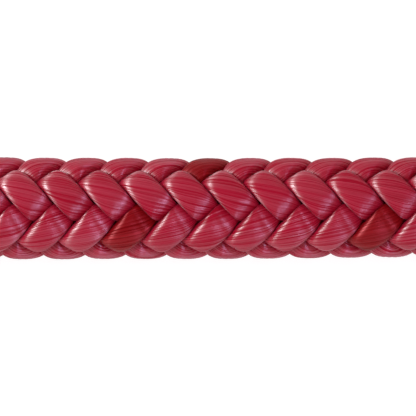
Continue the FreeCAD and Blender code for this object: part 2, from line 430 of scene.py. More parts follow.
class Route:
    """The line's centreline, from the bitter end round the eye and back to its throat."""

    STEP = 0.001
    SPLICE_GIRTH = 1.12
    BOUND_SQUEEZE = 0.19
    LOOSE_SWELL = 0.03
    LOOSE_TAPER = 0.01
    SPLICE_SWELL = 0.12
    TUCK_SQUEEZE = 0.12

    def __init__(self, layout: Layout, stowage: Stowage) -> None:
        """Make the spline and read its points.

        Args:
            layout: Where the line lies.
            stowage: How the hank is stacked.
        """
        self.layout = layout
        self.stowage = stowage
        self.points = self._even(self.spline_points(self._control_points()), self.STEP)
        steps = np.linalg.norm(np.diff(self.points, axis=0), axis=1)
        self.lengths = np.concatenate([[0.0], np.cumsum(steps)])
        self.length = float(self.lengths[-1])
        self.splice_start = self.length_at(layout.on_hank(6.65, 1.3, 0.0, self.SPLICE_GIRTH))
        self.throat = self.length_at(self._throat(), self.splice_start + 25 * layout.diameter)
        self.line = self._line_object()

    def length_at(self, place: Vector, limit: float = math.inf) -> float:
        """How far along the line its nearest point to a place is.

        Args:
            place: The place.
            limit: The length past which the line isn't searched.

        Returns:
            The length along the line.
        """
        gaps = np.linalg.norm(self.points - np.array(place), axis=1)
        return float(self.lengths[int(np.argmin(np.where(self.lengths < limit, gaps, math.inf)))])

    def _throat(self) -> Vector:
        """Where the eye's two legs part."""
        return self.layout.on_hank(-3.4, -2.75, 0.12, self.SPLICE_GIRTH)

    def _coil_points(self) -> list[Vector]:
        """Control points of the stowed turns.

        Returns:
            The points, in order along the line.
        """
        layout, stowage = self.layout, self.stowage
        d = layout.diameter
        half_run = layout.hank_half_run
        quarter = stowage.stations // 4
        arc_step = math.pi / (quarter + 1)
        spline_inset = 0.75 + 0.25 * math.cos(arc_step)
        points = []
        for step in range(stowage.coiled_steps):
            radius, height = stowage.slot(step / stowage.stations)
            section, index = divmod(step % stowage.stations, quarter)
            if section % 2 == 0:
                side = -1 if section == 0 else 1
                x = -side * (index / (quarter - 1) * 2 - 1) * half_run
                nip = stowage.squeeze if index == quarter // 2 and height < 4 else 0.0
                radius -= nip * (radius - 3.0)
                height -= nip * (height - 2.0)
                points.append(Vector((layout.hank_x + x, side * radius * d, height * d)))
            else:
                side = 1 if section == 1 else -1
                angle = (index + 1) * arc_step - math.pi / 2
                reach = radius * d / spline_inset
                points.append(Vector((layout.hank_x + side * (half_run + reach * math.cos(angle)),
                                      side * reach * math.sin(angle), height * d)))
        return points

    def _control_points(self) -> list[Vector]:
        """Control points of the whole line, listed one by one where it isn't coiled.

        Returns:
            The points, in order along the line.
        """
        layout = self.layout
        at = layout.on_hank
        d = layout.diameter
        thick = self.SPLICE_GIRTH
        straight = [Vector((layout.tip_x, layout.line_y, d / 2)),
                    layout.mark + Vector((0, -0.012 * d, 0.03 * d)),
                    layout.mark + Vector((3.2 * d, 0.02 * d, 0.015 * d))]
        top_turn = [at(2.4, -3.5, 0), at(4.45, -3.4, 0), at(6.05, -2.3, 0),
                    at(6.8, -0.55, 0), at(6.65, 1.3, 0.03)]
        splice = [at(5.35, 2.85, 0, thick), at(3.3, 3.45, 0, thick), at(0.6, 3.42, 0, thick),
                  at(-2.0, 3.46, 0, thick), at(-4.4, 3.3, 0, thick), at(-6.1, 2.15, 0, thick),
                  at(-6.85, 0.35, 0, thick), at(-6.4, -1.5, 0.04, thick),
                  at(-5.0, -2.6, 0.11, thick), at(-3.9, -2.75, 0.12, thick), self._throat()]
        near_leg = [at(-1.9, -2.6, 0.06), at(0.4, -2.35, 0), at(2.6, -2.42, 0),
                    at(4.45, -1.95, 0), at(5.4, -0.5, 0)]
        far_leg = [at(5.2, 1.3, 0), at(3.95, 2.25, 0), at(2.1, 2.3, 0), at(0.3, 1.95, 0),
                   at(-0.7, 0.75, 0), at(-1.3, -0.6, 0), at(-2.0, -1.75, 0.06), self._throat()]
        return straight + self._coil_points() + top_turn + splice + near_leg + far_leg

    @staticmethod
    def spline_points(controls: list[Vector]) -> np.ndarray:
        """Points of one smooth open curve.

        Args:
            controls: The curve's control points.

        Returns:
            The points, one in each row.
        """
        curve = bpy.data.curves.new("route", "CURVE")
        curve.dimensions = "3D"
        curve.resolution_u = 24
        spline = curve.splines.new("NURBS")
        spline.points.add(len(controls) - 1)
        for point, place in zip(spline.points, controls):
            point.co = (*place, 1.0)
        spline.order_u = 3
        spline.use_endpoint_u = True
        holder = bpy.data.objects.new("route", curve)
        bpy.context.scene.collection.objects.link(holder)
        bpy.context.view_layer.update()
        depsgraph = bpy.context.evaluated_depsgraph_get()
        mesh = bpy.data.meshes.new_from_object(holder.evaluated_get(depsgraph))
        points = np.array([vertex.co for vertex in mesh.vertices])
        bpy.data.objects.remove(holder, do_unlink=True)
        bpy.data.meshes.remove(mesh)
        return points

    @staticmethod
    def _even(points: np.ndarray, step: float) -> np.ndarray:
        """The same line with points an even step apart.

        Args:
            points: The line's points.
            step: How far apart the new points are, to the nearest whole count.

        Returns:
            The new points.
        """
        lengths = np.concatenate([[0.0], np.cumsum(np.linalg.norm(np.diff(points, axis=0), axis=1))])
        count = round(lengths[-1] / step) + 1
        wanted = np.linspace(0.0, lengths[-1], count)
        return np.stack([np.interp(wanted, lengths, points[:, axis]) for axis in range(3)], axis=1)

    def girth(self, length: float) -> float:
        """The rope's girth at a length along the line.

        Args:
            length: The length along the line.

        Returns:
            The radius, as a share of the free rope's.
        """
        d = self.layout.diameter
        bound = smooth_step((1.35 * d - length) / (0.2 * d))
        loose = 1 - smooth_step((length - 6 * d) / (4 * d))
        drawn = max(-1.0, min(1.0, (length - 3.6 * d) / (2.1 * d)))
        buried = smooth_step((length - self.splice_start + d) / (3 * d))
        buried *= 1 - smooth_step((length - self.throat) / (1.5 * d))
        tucked = smooth_step((length - self.length + 1.2 * d) / d)
        return (1 - self.BOUND_SQUEEZE * bound + (self.LOOSE_SWELL - self.LOOSE_TAPER * drawn) * loose
                + self.SPLICE_SWELL * buried - self.TUCK_SQUEEZE * tucked)

    def frame_at(self, length: float) -> tuple[np.ndarray, np.ndarray, np.ndarray]:
        """The rope's axis and its two cross directions.

        Args:
            length: The length along the line.

        Returns:
            The point of the axis, the level direction across it and the one upwards.
        """
        reach = 0.002
        here, ahead, behind = (np.array([np.interp(at, self.lengths, self.points[:, axis])
                                         for axis in range(3)])
                               for at in (length, length + reach, length - reach))
        tangent = (ahead - behind) / np.linalg.norm(ahead - behind)
        across = np.cross((0, 0, 1), tangent)
        across /= np.linalg.norm(across)
        return here, across, np.cross(tangent, across)

    def crossings(self, side: int) -> list[tuple[float, float]]:
        """Where the stowed turns cross the hank's middle, as y and z.

        Args:
            side: -1 for the near side, 1 for the far side.

        Returns:
            One place for each turn.
        """
        beyond = self.points[:, 0] > self.layout.hank_x
        found = np.flatnonzero(beyond[1:] != beyond[:-1])
        places = (self.points[index] for index in found)
        top = self.layout.hank_top
        return [(float(y), float(z)) for _, y, z in places if y * side > 0 and z < top]

    def _line_object(self) -> bpy.types.Object:
        """The centreline as a hidden mesh that the node trees sample.

        Returns:
            The hidden object.
        """
        mesh = bpy.data.meshes.new("route_line")
        count = len(self.points)
        mesh.from_pydata([tuple(p) for p in self.points], [(i, i + 1) for i in range(count - 1)], [])
        girth = mesh.attributes.new("girth", "FLOAT", "POINT")
        girth.data.foreach_set("value", [self.girth(length) for length in self.lengths])
        return bpy.data.objects.new("route_line", mesh)


# ---------------------------------------------------------------------- the finishes
@dataclass(frozen=True)
class FibreFinish:
    """Twisted, glossy filament of one colour."""

    name: str
    light: tuple[float, float, float]
    dark: tuple[float, float, float]
    roughness: float = 0.44
    filaments: float = 96.0        # round a strand
    relief: float = 0.00012
    specular: float = 0.6
    tint: tuple[float, float, float] = (1.0, 1.0, 1.0)
    sheen: float = 0.0
    sheen_roughness: float = 0.35
    sheen_tint: tuple[float, float, float] = (0.8, 0.5, 0.9)
    fine_change: float = 0.6       # of a fine streak along one rope diameter
    bundle_change: float = 0.3
    fine_contrast: float = 2.6
    bundle_contrast: float = 0.6
    glint: float = 7.0             # how much more a raised filament shines
    least_gloss: float = 0.05

    def build(self) -> bpy.types.Material:
        """Make the material.

        Returns:
            The material.
        """
        material = bpy.data.materials.new(self.name)
        material.use_nodes = True
        tree = material.node_tree
        shader = tree.nodes["Principled BSDF"]
        fine = self._streaks(tree, self.filaments, self.fine_change)
        bundles = self._streaks(tree, self.filaments / 4, self.bundle_change)
        mix = tree.nodes.new("ShaderNodeMix")
        mix.data_type = "RGBA"
        mix.inputs["A"].default_value = (*self.dark, 1)
        mix.inputs["B"].default_value = (*self.light, 1)
        tone = ((fine - 0.5) * self.fine_contrast + (bundles - 0.5) * self.bundle_contrast) + 0.5
        clamp = tree.nodes.new("ShaderNodeClamp")
        tone.link(clamp.inputs["Value"])
        tree.links.new(clamp.outputs[0], mix.inputs["Factor"])
        tree.links.new(mix.outputs["Result"], shader.inputs["Base Color"])
        shader.inputs["Roughness"].default_value = self.roughness
        shader.inputs["IOR"].default_value = 1.5
        gloss = (fine - 0.5) * (self.specular * self.glint) + self.specular
        gloss.math("MAXIMUM", self.least_gloss).link(shader.inputs["Specular IOR Level"])
        shader.inputs["Specular Tint"].default_value = (*self.tint, 1)
        shader.inputs["Sheen Weight"].default_value = self.sheen
        shader.inputs["Sheen Roughness"].default_value = self.sheen_roughness
        shader.inputs["Sheen Tint"].default_value = (*self.sheen_tint, 1)
        shader.inputs["Anisotropic"].default_value = 0.9
        shader.inputs["Anisotropic Rotation"].default_value = 0.25
        tangent = tree.nodes.new("ShaderNodeTangent")
        tangent.direction_type = "UV_MAP"
        tangent.uv_map = "UVMap"
        tree.links.new(tangent.outputs[0], shader.inputs["Tangent"])
        bump = tree.nodes.new("ShaderNodeBump")
        bump.inputs["Strength"].default_value = 1.0
        bump.inputs["Distance"].default_value = self.relief
        (fine + bundles).link(bump.inputs["Height"])
        tree.links.new(bump.outputs["Normal"], shader.inputs["Normal"])
        return material

    @staticmethod
    def _streaks(tree: bpy.types.NodeTree, across: float, along: float) -> Quantity:
        """Seamless noise drawn out along the filaments.

        Args:
            tree: The material's tree.
            across: How many streaks there are across a strand.
            along: How quickly a streak changes along its length.

        Returns:
            The noise, about 0 to 1.
        """
        laid = tree.nodes.new("ShaderNodeUVMap")
        laid.uv_map = "UVMap"
        split = tree.nodes.new("ShaderNodeSeparateXYZ")
        tree.links.new(laid.outputs["UV"], split.inputs[0])
        reach, turn = (Quantity(tree, output) for output in split.outputs[:2])
        angle = turn * (2 * math.pi)
        ring = across / (2 * math.pi)
        noise = tree.nodes.new("ShaderNodeTexNoise")
        place = vector(tree, angle.cos() * ring, angle.sin() * ring, reach * along)
        tree.links.new(place, noise.inputs["Vector"])
        noise.inputs["Scale"].default_value = 1.0
        noise.inputs["Detail"].default_value = 1.0
        return Quantity(tree, noise.outputs["Fac"])


@dataclass(frozen=True)
class MeltedFinish:
    """Fibre melted into a hard, uneven skin."""

    name: str
    light: tuple[float, float, float]
    dark: tuple[float, float, float]
    roughness: float = 0.32
    grain: float = 900.0           # lumps in a metre
    relief: float = 0.0002

    def build(self) -> bpy.types.Material:
        """Make the material.

        Returns:
            The material.
        """
        material = bpy.data.materials.new(self.name)
        material.use_nodes = True
        tree = material.node_tree
        shader = tree.nodes["Principled BSDF"]
        place = tree.nodes.new("ShaderNodeTexCoord")
        noise = tree.nodes.new("ShaderNodeTexNoise")
        noise.inputs["Scale"].default_value = self.grain
        noise.inputs["Detail"].default_value = 3.0
        tree.links.new(place.outputs["Object"], noise.inputs["Vector"])
        mix = tree.nodes.new("ShaderNodeMix")
        mix.data_type = "RGBA"
        mix.inputs["A"].default_value = (*self.dark, 1)
        mix.inputs["B"].default_value = (*self.light, 1)
        tree.links.new(noise.outputs["Fac"], mix.inputs["Factor"])
        tree.links.new(mix.outputs["Result"], shader.inputs["Base Color"])
        shader.inputs["Roughness"].default_value = self.roughness
        bump = tree.nodes.new("ShaderNodeBump")
        bump.inputs["Distance"].default_value = self.relief
        tree.links.new(noise.outputs["Fac"], bump.inputs["Height"])
        tree.links.new(bump.outputs["Normal"], shader.inputs["Normal"])
        return material


# ----------------------------------------------------------------------- the braid
@dataclass(frozen=True)
class BraidSizes:
    """Sizes of the braid that don't follow from the rope's diameter alone."""

    lay: float = 2.5               # in rope diameters
    half_thickness: float = 0.092  # of a strand's crown, in rope diameters
    rise: float = 0.112            # how far a strand rises and dips, in rope diameters
    half_angle: float = math.radians(29.6)
    squareness: float = 1.9
    section_power: float = 0.68
    filament_twist: float = 0.74   # turns of a strand's filaments in one rope diameter
    row_angle: float = math.radians(67.0)
    right_start: float = math.radians(39.6)
    left_start: float = math.radians(4.4)
    skin_radius: float = 0.45      # of a strand's middle, in rope diameters
    unevenness: float = 0.012      # in rope diameters
    unevenness_rate: float = 0.9   # lumps in one rope diameter
    ridges: float = 12.0           # round a strand
    ridge_height: float = 0.010    # in rope diameters


class Braid:
    """The twelve strands, each one mesh along the whole line."""

    STRANDS_EACH_WAY = 6
    FINE_RINGS_PER_WEAVE = 64
    FINE_AROUND = 40
    FAR_RINGS_PER_WEAVE = 12
    FAR_AROUND = 10
    BEGIN = 0.15                   # in rope diameters
    FINE_REACH = 2.9               # past the mark, in rope diameters
    SEED_STEP = 3.7
    RIDGE_RING = 6.3               # the way round the ridges' noise

    def __init__(self, route: Route, sizes: BraidSizes, fibre: bpy.types.Material,
                 tracer: bpy.types.Material) -> None:
        """Keep what the strands are made from.

        Args:
            route: The line's centreline.
            sizes: Sizes of the braid.
            fibre: The rope's main finish.
            tracer: The tracer strand's finish.
        """
        self.route = route
        self.sizes = sizes
        self.fibre = fibre
        self.tracer = tracer
        self.lay = sizes.lay * route.layout.diameter
        self.mark = route.length_at(route.layout.mark)
        self.tube_tree = self._tube_tree()

    def build(self) -> list[bpy.types.Object]:
        """Make every strand.

        Returns:
            The right-lay strands, the left-lay ones and then the tracer.
        """
        pieces = []
        for index in range(self.STRANDS_EACH_WAY):
            pieces.append(self._strand(f"rope_strand_right_{index + 1}", Hand.RIGHT, index, self.fibre))
        for index in range(1, self.STRANDS_EACH_WAY):
            pieces.append(self._strand(f"rope_strand_left_{index}", Hand.LEFT, index, self.fibre))
        pieces.append(self._strand("rope_strand_tracer", Hand.LEFT, 0, self.tracer))
        return pieces

    def start_angle(self, hand: Hand, index: int) -> float:
        """A strand's angle round the rope at the mark.

        Args:
            hand: The strand's hand.
            index: Its number among the strands of that hand.

        Returns:
            The angle.
        """
        start = self.sizes.right_start if hand is Hand.RIGHT else self.sizes.left_start
        return start + 2 * math.pi * index / self.STRANDS_EACH_WAY

    def hidden_length(self, hand: Hand, start: float, near: float) -> float:
        """Where a strand is deepest in the rope.

        Args:
            hand: The strand's hand.
            start: Its angle at the mark.
            near: A length along the line.

        Returns:
            The length along the line that is nearest to the given one.
        """
        rise_phase = 0.0 if hand is Hand.LEFT else math.pi
        turn = self.sizes.row_angle + rise_phase / 3 - start
        period = self.lay / 3
        first = self.mark + hand.value * turn / (2 * math.pi) * self.lay
        return first + round((near - first) / period) * period

    def _strand(self, name: str, hand: Hand, index: int,
                material: bpy.types.Material) -> bpy.types.Object:
        """One strand: a finely made stretch, then the rest of the line.

        Args:
            name: The piece's name.
            hand: The strand's hand.
            index: Its number among the strands of that hand.
            material: Its finish.

        Returns:
            The piece.
        """
        d = self.route.layout.diameter
        start = self.start_angle(hand, index)
        joint = self.hidden_length(hand, start, self.mark + self.FINE_REACH * d)
        begin, end = self.BEGIN * d, self.route.length
        period = self.lay / 3
        tree, sockets = new_geometry_tree(name, {"Material": "NodeSocketMaterial"})
        join = tree.nodes.new("GeometryNodeJoinGeometry")
        stretches = (
            (begin, joint, self.FINE_RINGS_PER_WEAVE, self.FINE_AROUND, 1.0),
            (joint, end, self.FAR_RINGS_PER_WEAVE, self.FAR_AROUND, 0.0),
        )
        for low, high, rings_per_weave, around, relief in stretches:
            tube = tree.nodes.new("GeometryNodeGroup")
            tube.node_tree = self.tube_tree
            tube.inputs["From"].default_value = low
            tube.inputs["To"].default_value = high
            tube.inputs["Rings"].default_value = round((high - low) / period * rings_per_weave)
            tube.inputs["Around"].default_value = around
            tube.inputs["Hand"].default_value = float(hand.value)
            tube.inputs["Start Angle"].default_value = start
            tube.inputs["Seed"].default_value = 10.0 * index + hand.value
            tube.inputs["Relief"].default_value = relief
            tube.inputs["Route"].default_value = self.route.line
            tree.links.new(tube.outputs["Geometry"], join.inputs["Geometry"])
        finish_tree(tree, join.outputs["Geometry"], sockets["Material"])
        return mesh_from_tree(name, tree, {"Material": material})

    def _tube_tree(self) -> bpy.types.NodeTree:
        """The node tree of one closed stretch of a strand.

        Returns:
            The tree.
        """
        tree, sockets = new_geometry_tree("strand_stretch", {
            "Route": "NodeSocketObject", "From": "NodeSocketFloat", "To": "NodeSocketFloat",
            "Rings": "NodeSocketInt", "Around": "NodeSocketInt", "Hand": "NodeSocketFloat",
            "Start Angle": "NodeSocketFloat", "Seed": "NodeSocketFloat", "Relief": "NodeSocketFloat"})
        length, turn, tube = self._grid(tree, sockets)
        centre, across, upward, girth = self._rope_frame(tree, sockets["Route"], length)
        radius, angle = self._section(tree, sockets, length, turn)
        radius = radius * girth
        out = vector_math(tree, "SCALE", across, scale=radius * angle.cos())
        up = vector_math(tree, "SCALE", upward, scale=radius * angle.sin())
        place = vector_math(tree, "ADD", vector_math(tree, "ADD", centre, out), up)
        move = tree.nodes.new("GeometryNodeSetPosition")
        tree.links.new(tube, move.inputs["Geometry"])
        tree.links.new(place, move.inputs["Position"])
        shaded = self._shade(tree, move.outputs["Geometry"], length, turn, sockets)
        out_node = tree.nodes.new("NodeGroupOutput")
        tree.links.new(shaded, out_node.inputs["Geometry"])
        return tree

    def _grid(self, tree: bpy.types.NodeTree, sockets: dict
              ) -> tuple[Quantity, Quantity, bpy.types.NodeSocket]:
        """A closed tube whose points know their length along the line and turn round it.

        Args:
            tree: The tree that gets the nodes.
            sockets: The tree's inputs.

        Returns:
            The length along the line, the turn round the strand, and the tube.
        """
        line = tree.nodes.new("GeometryNodeCurvePrimitiveLine")
        line.inputs["End"].default_value = (0, 0, 1)
        rings = tree.nodes.new("GeometryNodeResampleCurve")
        tree.links.new(line.outputs[0], rings.inputs["Curve"])
        tree.links.new(sockets["Rings"], rings.inputs["Count"])
        factor = tree.nodes.new("GeometryNodeSplineParameter")
        start, end = wrap(tree, sockets["From"]), wrap(tree, sockets["To"])
        length = start + (end - start) * wrap(tree, factor.outputs["Factor"])
        marked = store(tree, rings.outputs[0], "length", length)
        circle = tree.nodes.new("GeometryNodeCurvePrimitiveCircle")
        tree.links.new(sockets["Around"], circle.inputs["Resolution"])
        turned = store(tree, circle.outputs["Curve"], "turn", wrap(tree, factor.outputs["Factor"]))
        tube = tree.nodes.new("GeometryNodeCurveToMesh")
        tree.links.new(marked, tube.inputs["Curve"])
        tree.links.new(turned, tube.inputs["Profile Curve"])
        tube.inputs["Fill Caps"].default_value = True
        return named(tree, "length"), named(tree, "turn"), tube.outputs["Mesh"]

    def _rope_frame(self, tree: bpy.types.NodeTree, route: bpy.types.NodeSocket, length: Quantity
                    ) -> tuple[bpy.types.NodeSocket, bpy.types.NodeSocket, bpy.types.NodeSocket, Quantity]:
        """The rope's axis, its two cross directions and its girth at a length along the line.

        Args:
            tree: The tree that gets the nodes.
            route: The centreline's object.
            length: The length along the line.

        Returns:
            The point of the axis, the level direction, the upward one, and the girth.
        """
        source = tree.nodes.new("GeometryNodeObjectInfo")
        tree.links.new(route, source.inputs["Object"])
        curve = tree.nodes.new("GeometryNodeMeshToCurve")
        tree.links.new(source.outputs["Geometry"], curve.inputs["Mesh"])
        sample = tree.nodes.new("GeometryNodeSampleCurve")
        sample.mode = "LENGTH"
        tree.links.new(curve.outputs["Curve"], sample.inputs["Curves"])
        named(tree, "girth").link(sample.inputs["Value"])
        length.link(sample.inputs["Length"])
        tangent = sample.outputs["Tangent"]
        across = vector_math(tree, "NORMALIZE",
                             vector_math(tree, "CROSS_PRODUCT", vector(tree, 0, 0, 1), tangent))
        upward = vector_math(tree, "CROSS_PRODUCT", tangent, across)
        return sample.outputs["Position"], across, upward, Quantity(tree, sample.outputs["Value"])

    def _section(self, tree: bpy.types.NodeTree, sockets: dict, length: Quantity, turn: Quantity
                 ) -> tuple[Quantity, Quantity]:
        """Where a strand's skin is.

        Args:
            tree: The tree that gets the nodes.
            sockets: The tree's inputs.
            length: The length along the line.
            turn: The turn round the strand.

        Returns:
            The distance from the rope's axis, and the angle round it.
        """
        sizes, d = self.sizes, self.route.layout.diameter
        hand, start = wrap(tree, sockets["Hand"]), wrap(tree, sockets["Start Angle"])
        seed, relief = wrap(tree, sockets["Seed"]), wrap(tree, sockets["Relief"])
        round_angle = turn * (-2 * math.pi) - math.pi / 2
        centre = start + hand * (length - self.mark) * (2 * math.pi / self.lay)
        offset = round_angle.cos().squared_off(sizes.section_power) * sizes.half_angle
        phase = ((centre + offset * 0.5) - sizes.row_angle) * 3
        level = (phase.cos() * sizes.squareness).tanh() * hand / math.tanh(sizes.squareness)
        middle = d / 2 - (sizes.rise + sizes.half_thickness) * d
        wobble = self._noise(tree, vector(tree, length * (sizes.unevenness_rate / d), seed, 0.0))
        radius = (level * (sizes.rise * d) + middle
                  + round_angle.sin().squared_off(sizes.section_power) * (sizes.half_thickness * d)
                  + (wobble - 0.5) * (sizes.unevenness * d))
        reach, twist = self._filament(tree, length, turn, sockets)
        angle = twist * (2 * math.pi)
        ridges = self._noise(tree, vector(tree, angle.cos(), angle.sin(), reach), sizes.ridges)
        radius = radius + (ridges - 0.5) * relief * (sizes.ridge_height * d)
        return radius, centre + offset

    def _filament(self, tree: bpy.types.NodeTree, length: Quantity, turn: Quantity, sockets: dict
                  ) -> tuple[Quantity, Quantity]:
        """How far along its strand a filament is, in rope diameters, and its turn round it.

        Args:
            tree: The tree that gets the nodes.
            length: The length along the line.
            turn: The turn round the strand.
            sockets: The tree's inputs.

        Returns:
            The reach and the turn.
        """
        d = self.route.layout.diameter
        hand, seed = wrap(tree, sockets["Hand"]), wrap(tree, sockets["Seed"])
        twist = self._skin_turn(tree, turn) + hand * length * (self.sizes.filament_twist / d)
        return length / d + seed * self.SEED_STEP, twist

    def _skin_turn(self, tree: bpy.types.NodeTree, turn: Quantity) -> Quantity:
        """The turn round a strand measured along its skin, 0 in the middle of the crown.

        Args:
            tree: The tree that gets the nodes.
            turn: The turn round the strand's section.

        Returns:
            The turn along the skin.
        """
        sizes = self.sizes
        round_angle = turn * (-2 * math.pi) - math.pi / 2
        sideways = round_angle.cos().squared_off(sizes.section_power)
        outwards = round_angle.sin().squared_off(sizes.section_power)
        width = sizes.half_angle * sizes.skin_radius
        inset = wrap(tree, 1.0) - sideways.math("ABSOLUTE")
        reach = (inset * width + outwards.math("ABSOLUTE") * sizes.half_thickness) / (
            width + sizes.half_thickness)
        from_crown = wrap(tree, 0.25) - reach * outwards.math("SIGN") * 0.25
        return from_crown * sideways.math("SIGN")

    def _noise(self, tree: bpy.types.NodeTree, place: bpy.types.NodeSocket,
               across: float = 0.0) -> Quantity:
        """Smooth noise.

        Args:
            tree: The tree that gets the nodes.
            place: Where the noise is read.
            across: How many ridges it has round a strand, or 0 for plain noise.

        Returns:
            The noise, about 0 to 1.
        """
        node = tree.nodes.new("ShaderNodeTexNoise")
        if across:
            scaled = tree.nodes.new("ShaderNodeVectorMath")
            scaled.operation = "MULTIPLY"
            scaled.inputs[1].default_value = (across / self.RIDGE_RING, across / self.RIDGE_RING, 1.0)
            tree.links.new(place, scaled.inputs[0])
            place = scaled.outputs[0]
        tree.links.new(place, node.inputs["Vector"])
        node.inputs["Scale"].default_value = 1.0
        node.inputs["Detail"].default_value = 1.0
        return Quantity(tree, node.outputs[0])

    def _shade(self, tree: bpy.types.NodeTree, geometry: bpy.types.NodeSocket, length: Quantity,
               turn: Quantity, sockets: dict) -> bpy.types.NodeSocket:
        """Store the surface coordinates, shade the sides smooth and keep the ends flat.

        Args:
            tree: The tree that gets the nodes.
            geometry: The tube.
            length: The length along the line.
            turn: The turn round the strand.
            sockets: The tree's inputs.

        Returns:
            The shaded tube.
        """
        reach, twist = self._filament(tree, length, turn, sockets)
        coordinates = Quantity(tree, vector(tree, reach, twist, 0.0))
        return smooth_sides(tree, store(tree, geometry, "UVMap", coordinates, "FLOAT2", "CORNER"))


# ------------------------------------------------------------------ twine and tip
class TwineMaker:
    """Three-ply twine laid along one or more paths."""

    AROUND = 18
    PLY_LAY = 3.4                  # in twine diameters
    RING_SPACING = 0.36            # in twine diameters
    GROOVE = 0.2                   # between the plies, as a share of the radius
    ROUNDNESS = 0.8                # of a ply

    def __init__(self) -> None:
        """Build the node tree that every length of twine uses."""
        self.tree, sockets = new_geometry_tree("twine", {
            "Path": "NodeSocketObject", "Diameter": "NodeSocketFloat",
            "Material": "NodeSocketMaterial"})
        diameter = wrap(self.tree, sockets["Diameter"])
        finish_tree(self.tree, self._body(sockets["Path"], diameter), sockets["Material"])

    def _body(self, path: bpy.types.NodeSocket, diameter: Quantity) -> bpy.types.NodeSocket:
        """The twisted plies as one closed tube for each path.

        Args:
            path: The paths' object.
            diameter: The twine's diameter.

        Returns:
            The tubes.
        """
        tree = self.tree
        source = tree.nodes.new("GeometryNodeObjectInfo")
        tree.links.new(path, source.inputs["Object"])
        curve = tree.nodes.new("GeometryNodeMeshToCurve")
        tree.links.new(source.outputs["Geometry"], curve.inputs["Mesh"])
        rings = tree.nodes.new("GeometryNodeResampleCurve")
        rings.mode = "LENGTH"
        tree.links.new(curve.outputs["Curve"], rings.inputs["Curve"])
        (diameter * self.RING_SPACING).link(rings.inputs["Length"])
        along = tree.nodes.new("GeometryNodeSplineParameter")
        reach = wrap(tree, along.outputs["Length"]) / diameter
        lay = reach * (2 * math.pi / self.PLY_LAY)
        tilt = tree.nodes.new("GeometryNodeSetCurveTilt")
        tree.links.new(rings.outputs["Curve"], tilt.inputs["Curve"])
        lay.link(tilt.inputs["Tilt"])
        marked = store(tree, tilt.outputs["Curve"], "reach", reach)
        tube = tree.nodes.new("GeometryNodeCurveToMesh")
        tree.links.new(marked, tube.inputs["Curve"])
        tree.links.new(self._profile(diameter), tube.inputs["Profile Curve"])
        tube.inputs["Fill Caps"].default_value = True
        along_twine = named(tree, "reach")
        turn = ring_turn(tree, "ply") + along_twine / self.PLY_LAY
        flat = Quantity(tree, vector(tree, along_twine, turn, 0.0))
        return smooth_sides(tree, store(tree, tube.outputs["Mesh"], "UVMap", flat, "FLOAT2", "CORNER"))

    def _profile(self, diameter: Quantity) -> bpy.types.NodeSocket:
        """The outline of three plies twisted together.

        Args:
            diameter: The twine's diameter.

        Returns:
            The outline's curve.
        """
        tree = self.tree
        circle = tree.nodes.new("GeometryNodeCurvePrimitiveCircle")
        circle.inputs["Resolution"].default_value = self.AROUND
        factor = tree.nodes.new("GeometryNodeSplineParameter")
        share = wrap(tree, factor.outputs["Factor"])
        lobes = (share * (3 * math.pi)).cos().math("ABSOLUTE").math("POWER", self.ROUNDNESS)
        radius = (lobes * self.GROOVE + (1 - self.GROOVE)) * diameter * 0.5
        angle = share * (2 * math.pi)
        move = tree.nodes.new("GeometryNodeSetPosition")
        tree.links.new(circle.outputs["Curve"], move.inputs["Geometry"])
        tree.links.new(vector(tree, radius * angle.cos(), radius * angle.sin(), 0.0),
                       move.inputs["Position"])
        return store(tree, move.outputs["Geometry"], "ply", share)

    def lay(self, name: str, paths: list[np.ndarray], diameter: float,
            material: bpy.types.Material) -> bpy.types.Object:
        """Lay twine along paths.

        Args:
            name: The piece's name.
            paths: The points of each path.
            diameter: The twine's diameter.
            material: Its finish.

        Returns:
            The piece.
        """
        mesh = bpy.data.meshes.new(name + "_path")
        places, edges = [], []
        for path in paths:
            first = len(places)
            places += [tuple(point) for point in path]
            edges += [(first + i, first + i + 1) for i in range(len(path) - 1)]
        mesh.from_pydata(places, edges, [])
        holder = bpy.data.objects.new(name + "_path", mesh)
        return mesh_from_tree(name, self.tree, {"Path": holder, "Diameter": diameter,
                                                "Material": material})


@dataclass(frozen=True)
class Whipping:
    """Tight side-by-side wraps of twine round the rope."""

    name: str
    node: str
    start: float                   # length along the line
    wraps: int
    twine: float
    core: float                    # radius inside the wraps

    def build(self, route: Route, maker: TwineMaker, material: bpy.types.Material) -> bpy.types.Object:
        """Lay the wraps; both ends of the twine dive under them.

        Args:
            route: The line's centreline.
            maker: What lays the twine.
            material: The twine's finish.

        Returns:
            The piece.
        """
        steps = 40
        count = self.wraps * steps
        points = []
        for step in range(count + 1):
            turns = step / steps
            dive = max(0.0, 1 - min(turns, self.wraps - turns) * 4)
            radius = self.core + self.twine * (0.5 - 0.9 * dive)
            centre, across, up = route.frame_at(self.start + turns * self.twine)
            angle = turns * 2 * math.pi
            points.append(centre + radius * (math.cos(angle) * across + math.sin(angle) * up))
        piece = maker.lay(self.name, [np.array(points)], self.twine, material)
        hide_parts(self.node)
        return piece


